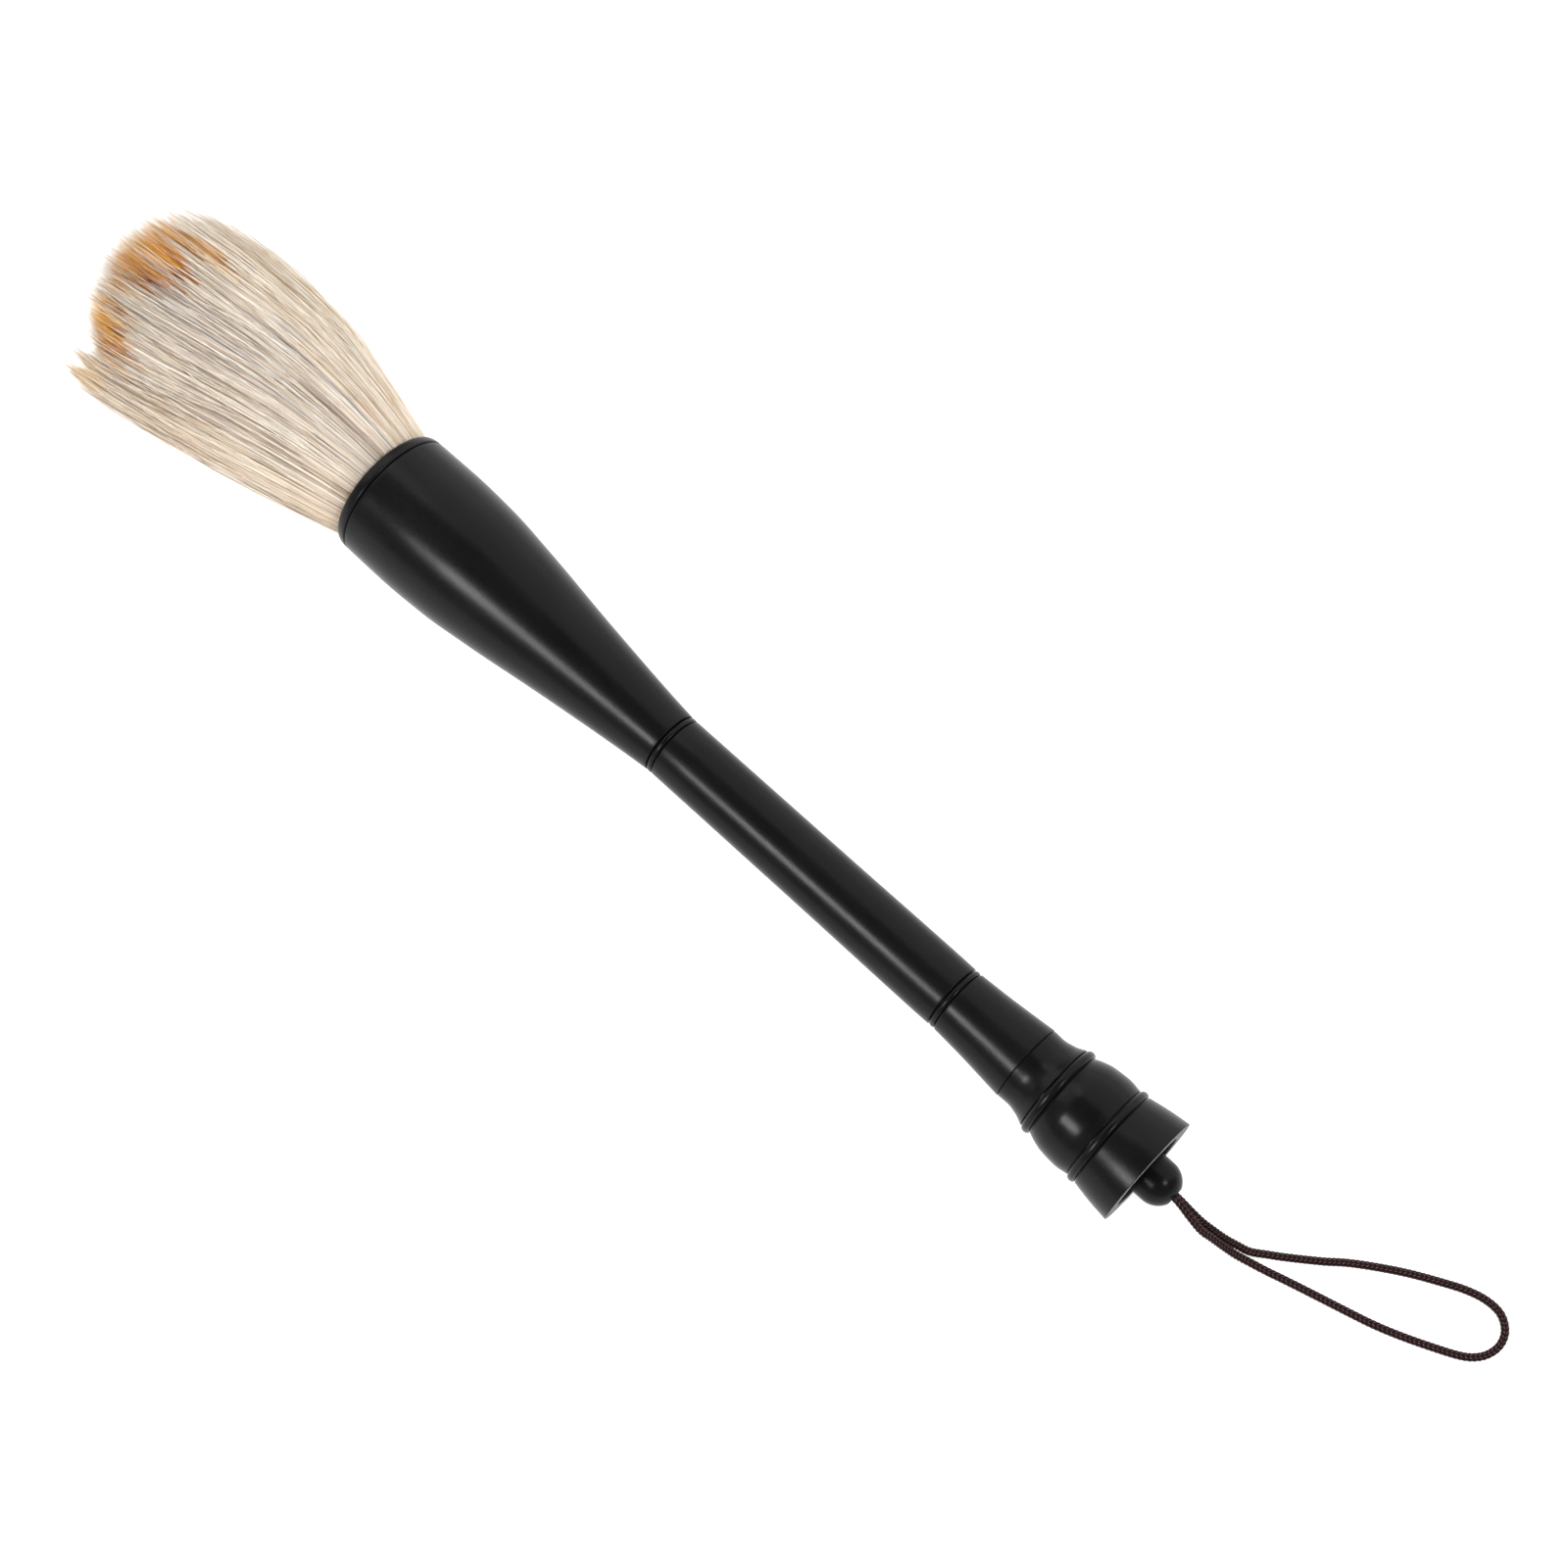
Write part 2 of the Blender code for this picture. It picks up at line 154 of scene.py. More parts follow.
def satin_black():
    """Satin black lacquer, rubbed along its length, so that it carries fine scratches and haze."""
    made, tree, shader = new_material("satin_lacquer", (0.0054, 0.0053, 0.0057, 1.0), 0.3, specular=0.125)
    haze = noise_along(tree, 40.0, 160.0, detail=3.0)
    scratches = noise_along(tree, 260.0, 7000.0, detail=5.0, roughness=0.7)
    tone = ramp(tree, haze, [
        (0.3, (0.0044, 0.0043, 0.0046, 1.0)), (0.7, (0.0062, 0.0061, 0.0066, 1.0)),
    ])
    tree.links.new(tone, shader.inputs["Base Color"])
    mixed = tree.nodes.new("ShaderNodeMath")
    mixed.operation = "ADD"
    tree.links.new(spread(tree, haze, 0.14, 0.19), mixed.inputs[0])
    tree.links.new(spread(tree, scratches, 0.06, 0.16), mixed.inputs[1])
    tree.links.new(mixed.outputs["Value"], shader.inputs["Roughness"])
    bump(tree, shader, scratches, 0.16, 0.00004)
    return made


def polished_black():
    """The same lacquer polished to a gloss, with faint orange peel under the shine."""
    made, tree, shader = new_material("polished_lacquer", (0.0046, 0.0045, 0.0049, 1.0), 0.25, specular=0.12)
    peel = noise_along(tree, 420.0, 420.0, detail=2.0)
    haze = noise_along(tree, 90.0, 130.0, detail=3.0)
    tone = ramp(tree, haze, [
        (0.3, (0.0038, 0.0037, 0.0040, 1.0)), (0.7, (0.0056, 0.0055, 0.0059, 1.0)),
    ])
    tree.links.new(tone, shader.inputs["Base Color"])
    tree.links.new(spread(tree, haze, 0.22, 0.29), shader.inputs["Roughness"])
    bump(tree, shader, peel, 0.12, 0.00005)
    return made


def painted_light_rim_lacquer():
    """The flat rim at the tail, painted a light grey as painted light where the lamps fall on it, mottled at
    random.
    """
    made, tree, shader = new_material("painted_light_rim_lacquer", (0.14, 0.14, 0.145, 1.0), 0.6, specular=0.2)
    rim_mottle = noise_along(tree, 700.0, 700.0, detail=4.0)
    tone = ramp(tree, rim_mottle, [(0.35, (0.09, 0.09, 0.093, 1.0)), (0.7, (0.24, 0.24, 0.25, 1.0))])
    tree.links.new(tone, shader.inputs["Base Color"])
    tree.links.new(spread(tree, rim_mottle, 0.45, 0.7), shader.inputs["Roughness"])
    return made


def plain_wood():
    """Beech for the hidden dowels, with its grain along them."""
    made, tree, shader = new_material("dowel_beech", srgb(190, 150, 105), 0.6)
    grain = noise_along(tree, 60.0, 1800.0)
    tone = ramp(tree, grain, [(0.3, srgb(166, 124, 82)), (0.7, srgb(205, 168, 122))])
    tree.links.new(tone, shader.inputs["Base Color"])
    bump(tree, shader, grain, 0.2, 0.0001)
    return made


def rosin():
    """The clouded brown rosin that seals the hair's root."""
    made, tree, shader = new_material("rosin_plug", srgb(150, 92, 42), 0.3)
    clouds = noise_along(tree, 400.0, 400.0)
    tone = ramp(tree, clouds, [(0.3, srgb(120, 66, 26)), (0.7, srgb(172, 112, 56))])
    tree.links.new(tone, shader.inputs["Base Color"])
    return made


def waxed_thread():
    """Pale waxed thread, with fine fibres."""
    made, tree, shader = new_material("waxed_thread", srgb(205, 192, 165), 0.75)
    fibres = noise_along(tree, 3500.0, 900.0)
    tone = ramp(tree, fibres, [(0.3, srgb(184, 168, 138)), (0.7, srgb(222, 212, 188))])
    tree.links.new(tone, shader.inputs["Base Color"])
    bump(tree, shader, fibres, 0.4, 0.0001)
    return made


def cord_fibre(name, dark, light):
    """Dark nylon braid: the strands themselves are in the mesh, this is their filaments."""
    made, tree, shader = new_material(name, light, 0.5, specular=0.08)
    filaments = noise_along(tree, 5200.0, 5200.0, detail=3.0)
    tree.links.new(ramp(tree, filaments, [(0.35, dark), (0.7, light)]), shader.inputs["Base Color"])
    tree.links.new(spread(tree, filaments, 0.35, 0.6), shader.inputs["Roughness"])
    bump(tree, shader, filaments, 0.5, 0.0001)
    return made


SATIN = satin_black()
POLISHED = polished_black()
WOOD = plain_wood()
CORD = cord_fibre("braid_nylon", srgb(24, 12, 13), srgb(46, 28, 28))
# Painted highlight on the braid's crests and painted shade in its gaps, given to faces by their height in
# the relief.
CORD_CREST_HIGHLIGHT = cord_fibre("braid_crest_highlight", srgb(66, 42, 42), srgb(128, 92, 90))
CORD_GAP_SHADE = cord_fibre("braid_gap_shade", srgb(4, 2, 2), srgb(10, 5, 5))
# Painted light: a light grey for the flat rim at the tail, where the lamps fall on it.
PAINTED_LIGHT_RIM = painted_light_rim_lacquer()
# The hidden nodes keep their CAD shapes.
for node, finish in {
    "front_dowel": WOOD, "rear_dowel": WOOD, "tail_dowel": WOOD, "root_plug": rosin(),
    "tuft_binding": waxed_thread(), "cord_knot": CORD,
}.items():
    frame["nodes"][node].material_slots[0].material = finish


# ---------------------------------------------------------------- smooth outlines


def fair(rows, steps):
    """A smooth curve through rows of (station, value, ...), with no overshoot between them."""
    spans = [b[0] - a[0] for a, b in zip(rows, rows[1:])]
    columns = range(1, len(rows[0]))
    tangents = [[0.0] * len(rows[0]) for _ in rows]
    for c in columns:
        slopes = [(b[c] - a[c]) / h for a, b, h in zip(rows, rows[1:], spans)]
        tangents[0][c], tangents[-1][c] = slopes[0], slopes[-1]
        for i, (before, after) in enumerate(zip(slopes, slopes[1:]), start=1):
            if before * after > 0:
                tangents[i][c] = 2 * before * after / (before + after)
    curve = [tuple(rows[0])]
    for i, h in enumerate(spans):
        for step in range(1, steps + 1):
            t = step / steps
            ends = (2 * t**3 - 3 * t**2 + 1, t**3 - 2 * t**2 + t, 3 * t**2 - 2 * t**3, t**3 - t**2)
            curve.append((rows[i][0] + h * t, *(
                ends[0] * rows[i][c] + ends[1] * h * tangents[i][c]
                + ends[2] * rows[i + 1][c] + ends[3] * h * tangents[i + 1][c]
                for c in columns
            )))
    return curve


def rounded_band(start, end, base, crest, steps=14):
    """A ring's outer edge: half of a rounded bead from start to end, crest tall."""
    middle, half = (start + end) / 2, (end - start) / 2
    return [
        (middle - half * cos(pi * i / steps), base + (crest - base) * sin(pi * i / steps))
        for i in range(steps + 1)
    ]


CORNER_RADIUS = 0.16
LEAST_CORNER = radians(24)
CORNER_STEPS = 4
SHARP_EDGE = radians(35)
WELD_DISTANCE = 0.001
TOUCHING = 1e-6


def ease_corners(outline):
    """The closed outline with a small round on each corner, as a turned and sanded edge has."""
    eased = []
    for i, point in enumerate(outline):
        here = Vector(point)
        before = Vector(outline[i - 1]) - here
        after = Vector(outline[(i + 1) % len(outline)]) - here
        if before.length < TOUCHING or after.length < TOUCHING:
            continue
        if point[1] < TOUCHING or pi - before.angle(after) < LEAST_CORNER:
            eased.append(tuple(here))
            continue
        entry = here + before.normalized() * min(CORNER_RADIUS, 0.4 * before.length)
        leave = here + after.normalized() * min(CORNER_RADIUS, 0.4 * after.length)
        for step in range(CORNER_STEPS + 1):
            t = step / CORNER_STEPS
            eased.append(tuple((1 - t) ** 2 * entry + 2 * t * (1 - t) * here + t**2 * leave))
    return eased


# ---------------------------------------------------------------- handle


def place(name, mesh, body, slot, nodes, finish=None):
    """A visible piece that rides a body and stands for those CAD nodes."""
    made = bpy.data.objects.new(name, mesh)
    bpy.context.scene.collection.objects.link(made)
    if finish is not None:
        mesh.materials.append(finish)
    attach(made, body)
    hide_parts(*nodes)
    return made


TURN_SEGMENTS = 192


def turn(node, outline, finish, slot, body="brush"):
    """A piece turned on the brush's axis, which stands for the CAD node of the same name."""
    outline = ease_corners(outline)
    mesh = bpy.data.meshes.new(node + "_turned")
    bm = bmesh.new()
    points = [bm.verts.new((-station, 0.0, radius)) for station, radius in outline]
    edges = [bm.edges.new(pair) for pair in zip(points, points[1:])]
    if outline[0][1] > TOUCHING:
        edges.append(bm.edges.new((points[-1], points[0])))
    bmesh.ops.spin(
        bm, geom=points + edges, cent=(0, 0, 0), axis=(1, 0, 0),
        angle=2 * pi, steps=TURN_SEGMENTS, use_merge=True,
    )
    bmesh.ops.remove_doubles(bm, verts=bm.verts, dist=WELD_DISTANCE)
    bmesh.ops.recalc_face_normals(bm, faces=bm.faces)
    bm.transform(AXIS)
    bm.to_mesh(mesh)
    bm.free()
    mesh.shade_smooth()
    mesh.set_sharp_from_angle(angle=SHARP_EDGE)
    return place(node + "_turned", mesh, body, slot, [node], finish)


BORE = 3.5
SPIGOT_HOLE = 6.5
CORD_HOLE = 2.2
JOINT_GAP = 0.3
GROOVE_DEPTH = 0.35


def turn_ring(node, start, end, base, crest, inside):
    """A rounded ring. A low foot on each side closes the joint, so that only a groove is left."""
    foot = base - GROOVE_DEPTH
    outline = [(start - JOINT_GAP, inside), (start - JOINT_GAP, foot), (start, foot)]
    outline += rounded_band(start, end, base, crest)
    outline += [(end, foot), (end + JOINT_GAP, foot), (end + JOINT_GAP, inside)]
    turn(node, outline, POLISHED, "polished_black")


turn("ferrule", [(160.5, 0.0), (160.5, BORE), (139.5, BORE)] + fair([
    (139.5, 7.6), (148.0, 8.5), (168.0, 11.0), (191.0, 14.2), (203.0, 15.5), (215.0, 15.96), (225.9, 15.85),
], steps=10) + [
    (225.9, 14.8), (221.0, 14.8), (221.0, 13.9), (193.2, 11.6), (193.2, 0.0),
], SATIN, "satin_black")

turn("mouth_ring", [
    (221.3, 13.4), (221.3, 14.5), (226.2, 14.5), (226.2, 15.6), (226.5, 15.85), (227.7, 15.75),
    (228.5, 15.45), (228.9, 15.0), (228.9, 14.5), (227.0, 13.7),
], SATIN, "satin_black")

turn_ring("neck_ring", 137.9, 139.2, 7.15, 7.6, BORE)

turn("shaft", [(75.4, 0.0), (75.4, BORE), (55.4, BORE)] + fair([
    (55.4, 7.7), (60.0, 7.75), (92.0, 7.62), (137.6, 7.55),
], steps=6) + [(137.6, BORE), (117.6, BORE), (117.6, 0.0)], SATIN, "satin_black")

turn_ring("tail_ring", 53.8, 55.1, 7.25, 7.7, BORE)

CONE_START = 34.1
COVE_END, COVE_END_RADIUS = 33.8, 9.1
cove_foot = COVE_END_RADIUS - GROOVE_DEPTH
turn("tail_cone", [(CONE_START, BORE)] + fair([
    (CONE_START, 9.2), (39.3, 8.72), (46.0, 8.15), (53.5, 7.7),
], steps=10) + [(53.5, BORE)], SATIN, "satin_black")

turn("tail_cove", [(26.2, BORE)] + fair([
    (26.2, 10.55), (28.6, 9.55), (31.5, 9.03), (COVE_END, COVE_END_RADIUS),
], steps=10) + [
    (COVE_END, cove_foot), (CONE_START, cove_foot), (CONE_START, BORE),
], POLISHED, "polished_black")

turn_ring("cove_ring", 23.9, 25.9, 10.4, 11.15, BORE)

turn("tail_bulb", fair([
    (12.2, 11.65), (15.3, 12.05), (19.5, 11.75), (22.0, 11.1), (23.6, 10.45),
], steps=10) + [
    (23.6, BORE), (16.7, BORE), (16.7, 4.8), (14.5, 4.8), (14.5, SPIGOT_HOLE), (12.2, SPIGOT_HOLE),
], POLISHED, "polished_black")

turn_ring("bulb_ring", 10.05, 11.9, 11.7, 12.3, SPIGOT_HOLE)

bell = turn("end_bell", fair([(0.0, 13.35), (4.4, 12.83), (9.75, 11.9)], steps=12) + [
    (9.75, 6.2), (14.2, 6.2), (14.2, 4.8), (10.2, 4.8), (10.2, CORD_HOLE), (8.4, CORD_HOLE), (8.4, 4.3),
    (6.2, 4.3), (6.2, 9.1), (0.0, 9.4),
], SATIN, "satin_black")
bell.data.materials.append(PAINTED_LIGHT_RIM)
# The rim's faces, which take the painted light grey, are those that look along the axis, within a corner's
# round of the end.
FACES_TAIL = 0.95
RIM_DEPTH = 0.3
for polygon in bell.data.polygons:
    depth_in = -(AXIS.inverted() @ polygon.center).x
    if abs(polygon.normal.dot(TAIL)) > FACES_TAIL and depth_in < RIM_DEPTH:
        polygon.material_index = 1

BEAD_RADIUS = 5.17
DOME_CENTRE = -2.9
DOME_STEPS = 32
hole_sweep = atan(CORD_HOLE / sqrt(BEAD_RADIUS**2 - CORD_HOLE**2))
dome = []
for i in range(DOME_STEPS + 1):
    angle = hole_sweep + (pi / 2 - hole_sweep) * i / DOME_STEPS
    dome.append((DOME_CENTRE - BEAD_RADIUS * cos(angle), BEAD_RADIUS * sin(angle)))
turn("cord_bead", [(8.1, CORD_HOLE)] + dome + [
    (5.9, BEAD_RADIUS), (5.9, 3.95), (8.1, 3.95),
], POLISHED, "polished_black", body="bead")


# ---------------------------------------------------------------- cord

CORD_DIAMETER = 1.8
ROUTE_STEP = 0.125
BRAID_COLUMNS = 8
COLUMN_POINTS = 6
STRAND_PITCH = 1.0
STRAND_SLANT = 0.95
# Shares of the cord's radius: how far out the gaps lie, and how much further the crests do.
BRAID_FLOOR, BRAID_RELIEF = 0.76, 0.27
# What is lower or higher than this in the relief, from 0 to 1, is finished with the near-black painted shade
# of a gap or the lighter painted highlight of a crest.
SHADE_BELOW, HIGHLIGHT_ABOVE = 0.34, 0.80
# Every so many points of the braid's centreline make up the cord's declared path.
# Millimetres from the middle of the bell's end face along X and Y, and above the table.
CORD_ROUTE = [
    (-9.8, 0.4, 12.6), (-1.0, 0.4, 12.49), (7.5, 0.45, 12.4), (12.2, 0.4, 11.4), (15.0, 0.7, 9.8),
    (17.6, 1.4, 7.9), (20.5, 2.4, 5.4), (23.3, 3.7, 2.9), (26.2, 5.0, 1.15), (29.3, 7.1, 0.95),
    (32.5, 9.3, 0.95), (38.6, 13.9, 0.95), (42.8, 17.4, 0.95), (47.8, 20.9, 0.95), (53.4, 24.4, 0.95),
    (59.6, 27.7, 0.95), (64.7, 30.1, 0.95), (69.1, 31.3, 0.95), (73.0, 31.1, 0.95), (75.9, 29.0, 0.95),
    (77.0, 26.0, 0.95), (76.5, 22.9, 0.95), (74.9, 20.4, 0.95), (72.3, 18.4, 0.95), (67.4, 16.0, 0.95),
    (61.2, 13.3, 0.95), (55.3, 11.1, 0.95), (48.8, 9.2, 0.95), (42.3, 7.4, 0.95), (35.6, 5.5, 0.95),
    (31.6, 4.3, 0.95), (27.0, 3.0, 1.3), (24.2, 1.9, 3.0), (21.5, 0.8, 5.8), (18.8, -0.2, 8.6),
    (16.1, -1.1, 11.0), (12.8, -1.1, 13.1), (7.7, -0.45, 14.15), (-1.0, -0.4, 14.25), (-9.8, -0.4, 14.36),
]


def smooth_route(points, spacing):
    """Evenly spaced points on a uniform Catmull-Rom curve through the points, and how far along
    it each one is."""
    given = np.array(points)
    padded = np.vstack([2 * given[0] - given[1], given, 2 * given[-1] - given[-2]])
    fine = []
    for a, b, c, d in zip(padded, padded[1:], padded[2:], padded[3:]):
        for t in np.arange(0, 1, 1 / 40):
            fine.append(0.5 * (
                2 * b + (c - a) * t + (2 * a - 5 * b + 4 * c - d) * t**2 + (3 * b - a - 3 * c + d) * t**3
            ))
    fine = np.array(fine + [given[-1]])
    along = np.concatenate([[0.0], np.cumsum(np.linalg.norm(np.diff(fine, axis=0), axis=1))])
    wanted = np.linspace(0.0, along[-1], int(round(along[-1] / spacing)) + 1)
    return np.column_stack([np.interp(wanted, along, fine[:, i]) for i in range(3)]), wanted


def braided_tube(points, along, radius):
    """A round braid: columns of short slanting strands, leaning one way and the other in turn."""
    around = BRAID_COLUMNS * COLUMN_POINTS
    tangents = np.gradient(points, axis=0)
    tangents /= np.linalg.norm(tangents, axis=1)[:, None]
    across = np.cross(tangents, (0.0, 0.0, 1.0))
    across /= np.linalg.norm(across, axis=1)[:, None]
    lift = np.cross(across, tangents)
    place_in = np.arange(around) / COLUMN_POINTS
    column, share = place_in.astype(int), place_in % 1.0
    lean = np.where(column % 2 == 0, 1.0, -1.0) * (share - 0.5) * STRAND_SLANT
    strand = np.abs(np.cos(pi * (along[:, None] / STRAND_PITCH + lean[None, :]))) ** 0.8
    top = strand * (0.25 + 0.75 * np.sin(pi * share)[None, :] ** 0.6)
    reach = radius * (BRAID_FLOOR + BRAID_RELIEF * top)
    angles = 2 * pi * np.arange(around) / around
    outward = (
        np.cos(angles)[None, :, None] * across[:, None, :] + np.sin(angles)[None, :, None] * lift[:, None, :]
    )
    rings = points[:, None, :] + reach[:, :, None] * outward
    faces, finish = [], []
    for i in range(len(points) - 1):
        for j in range(around):
            k = (j + 1) % around
            faces.append((i * around + j, i * around + k, (i + 1) * around + k, (i + 1) * around + j))
            height = (top[i, j] + top[i, k] + top[i + 1, j] + top[i + 1, k]) / 4
            # Faces low in the relief get the painted shade of a gap, faces high in it the painted highlight
            # of a crest.
            finish.append(2 if height < SHADE_BELOW else 1 if height > HIGHLIGHT_ABOVE else 0)
    faces.append(tuple(reversed(range(around))))
    last = (len(points) - 1) * around
    faces.append(tuple(range(last, last + around)))
    mesh = bpy.data.meshes.new("cord_braid")
    mesh.from_pydata(rings.reshape(-1, 3).tolist(), [], faces)
    for face_finish in (CORD, CORD_CREST_HIGHLIGHT, CORD_GAP_SHADE):
        mesh.materials.append(face_finish)
    mesh.polygons.foreach_set("material_index", finish + [0, 0])
    mesh.shade_smooth()
    return mesh


route = np.array(CORD_ROUTE)
route[:, 0] += END_FACE.x / MM
route[:, 1] += END_FACE.y / MM
cord_points, cord_along = smooth_route(route, ROUTE_STEP)
cord_mesh = braided_tube(cord_points, cord_along, CORD_DIAMETER / 2)
cord_mesh.transform(Matrix.Scale(MM, 4))
cord = place("cord_braid", cord_mesh, "brush", "braided_cord", ["cord_loop"])


# ---------------------------------------------------------------- hair

# Station, then the tuft's reach towards -Y, towards +Y, upwards and downwards from the axis.
TUFT_SHAPE = [
    (226.0, 13.4, 13.4, 13.4, 13.4), (229.0, 14.25, 14.25, 14.25, 14.25), (232.0, 15.1, 15.1, 14.9, 15.1),
    (247.0, 19.0, 19.0, 17.8, 19.0), (266.0, 23.4, 23.2, 20.0, 23.0), (287.0, 27.2, 23.9, 19.8, 25.0),
    (300.0, 29.0, 22.9, 18.8, 25.0), (312.0, 30.0, 21.6, 16.8, 25.0), (330.0, 30.4, 19.5, 13.0, 25.0),
]
# Across the tuft from -Y to +Y: how far past the mouth the tips reach, with two locks near -Y.
TIP_REACH = [
    (-31.0, 66.0), (-30.2, 71.0), (-29.4, 77.4), (-28.2, 76.8), (-27.0, 71.5), (-25.6, 76.8), (-24.8, 78.2),
    (-23.6, 75.5), (-22.0, 74.5), (-20.5, 78.2), (-19.1, 80.2), (-13.8, 85.4), (-6.3, 90.8), (1.7, 93.2),
    (8.0, 92.6), (12.6, 90.6), (16.5, 86.6), (19.5, 81.8), (22.5, 76.0), (24.2, 70.0), (25.0, 60.0),
]
# Across the tuft: where the dye starts and ends past the mouth, how many hairs take it, and how
# much of its inner edge is brown rather than orange.
DYE = [
    (-31.0, 67.0, 75.5, 0.35, 0.0), (-28.0, 67.0, 75.8, 0.40, 0.0), (-26.0, 68.0, 75.5, 0.35, 0.0),
    (-23.5, 71.0, 74.5, 0.30, 0.0), (-21.5, 64.0, 74.0, 0.20, 0.0), (-19.5, 71.0, 76.0, 0.60, 0.3),
    (-17.5, 66.5, 79.0, 0.85, 0.6), (-15.0, 72.0, 82.5, 0.80, 0.3), (-13.0, 75.0, 84.5, 0.80, 0.4),
    (-11.0, 75.5, 84.0, 0.60, 0.5), (-9.0, 81.0, 84.0, 0.20, 0.0), (-7.0, 80.5, 84.2, 0.50, 0.3),
    (-5.0, 79.0, 86.0, 0.75, 0.5), (-1.3, 76.8, 88.5, 0.85, 0.85), (2.0, 76.0, 88.5, 0.85, 0.8),
    (5.5, 72.5, 87.8, 0.80, 0.85), (7.5, 78.5, 88.0, 0.80, 0.3), (9.5, 79.5, 88.3, 0.80, 0.2),
    (11.5, 73.0, 87.0, 0.85, 0.4), (13.3, 65.5, 80.5, 0.90, 0.8), (14.4, 68.0, 77.0, 0.50, 0.5),
    (15.6, 75.0, 77.0, 0.0, 0.0), (31.0, 75.0, 77.0, 0.0, 0.0),
]
# How gradually the hairs thin out towards the outline of the tips, from -Y to +Y.
FEATHER = [(-31.0, 2.4), (-22.0, 2.2), (-18.0, 1.9), (5.0, 2.2), (11.0, 3.6), (17.0, 6.0), (26.0, 6.5)]
# The end of the tuft is cut on a slant: hairs on top are shorter, and lean a little over to +Y.
# Far enough below the axis, the slant stops.
TIP_SLANT, TIP_SKEW, LOWEST_SLANT = 0.58, 0.24, -5.0
MOUTH = 228.9
ROOT, ROOT_SPREAD = 226.3, 0.8
FIRST_END, END_PASSES = 310.0, 5
# How far along its length each point of a hair lies: closer together where the dye and tips are.
SHARES = np.array([0.0, 0.10, 0.22, 0.36, 0.50, 0.62, 0.72, 0.79, 0.85, 0.90, 0.94, 0.97, 1.0])
SEED = 20417
random = np.random.default_rng(SEED)

shape_table = np.array(fair(TUFT_SHAPE, steps=8))
axis_matrix = np.array(AXIS)


def table_column(table, column, at):
    return np.interp(at, [row[0] for row in table], [row[column] for row in table])


def smooth_step(value, start, end):
    t = np.clip((value - start) / (end - start), 0.0, 1.0)
    return t * t * (3 - 2 * t)


def in_tuft(stations, angles, depths):
    """Sideways and upward offsets from the axis of a place in the tuft's section."""
    left, right, up, down = [np.interp(stations, shape_table[:, 0], shape_table[:, c]) for c in range(1, 5)]
    across, lift = np.cos(angles), np.sin(angles)
    return depths * across * np.where(across > 0, right, left), depths * lift * np.where(lift > 0, up, down)


def axis_height(stations):
    """Height of the brush's axis above the table, in millimetres."""
    return (END_FACE.z - TAIL.z * stations * MM) / MM


# A hair's place in the tuft's section, as shares of the tuft's reach: how far clumps and hairs
# stray from their places, and how far a tip is drawn to the middle of its clump.
CLUMP_STRAY, HAIR_STRAY, GATHERING = 0.006, 0.012, 0.45
# Radians about the axis: hairs on top lie over towards -Y as they near the tips, and some stray
# across the others.
TOP_LEAN, CROSSING_LEAN, CROSSING_SHARE = 0.30, 0.15, 0.14
SIDE_THINNING = 0.10
# How much shorter than the outline a hair is, in steps of the feather: at least, at most, how much
# clumps vary, and how much more at a clump's edge.
LEAST_CUT, MOST_CUT, CLUMP_CUT, CLUMP_EDGE_CUT = -0.5, 7.0, 0.7, 1.0
# Millimetres of sideways wander along a clump and a hair, and of how far loose hairs stand off.
CLUMP_SWING, SWING_LENGTH = 0.09, 10.0
HAIR_WANDER, WANDER_LENGTHS = 0.27, (5.0, 16.0)
FLYAWAY_SHARE, FLYAWAY_OUT, FLYAWAY_LIFT = 0.07, 1.4, 0.9


def nearest_clump(places, centres):
    gaps = places[:, None, :] - centres[None, :, :]
    return np.argmin((gaps**2).sum(axis=2), axis=1)


def scatter(number, shallowest, deepest):
    """Places spread evenly over the tuft's section between two depths."""
    angle = random.uniform(0, 2 * pi, number)
    depth = np.sqrt(random.uniform(shallowest**2, deepest**2, number))
    return np.stack([depth * np.cos(angle), depth * np.sin(angle)], axis=1)


def to_polar(places):
    return np.arctan2(places[:, 1], places[:, 0]), np.linalg.norm(places, axis=1)


def shorter_way(angles):
    """Angles brought to between minus pi and pi."""
    return (angles + pi) % (2 * pi) - pi


def end_stations(angles, depths, cuts):
    """Where hairs end whose tips are at these places in the section. The outline of the tips
    depends on where they lie, so the answer is closed in on."""
    end = np.full(len(angles), FIRST_END)
    for _ in range(END_PASSES):
        side, lift = in_tuft(end, angles, depths)
        lift = np.maximum(lift, -axis_height(end))
        across = side + TIP_SKEW * lift
        end = MOUTH + table_column(TIP_REACH, 1, across) - TIP_SLANT * np.maximum(lift, LOWEST_SLANT)
        end -= cuts * table_column(FEATHER, 1, across)
    return end


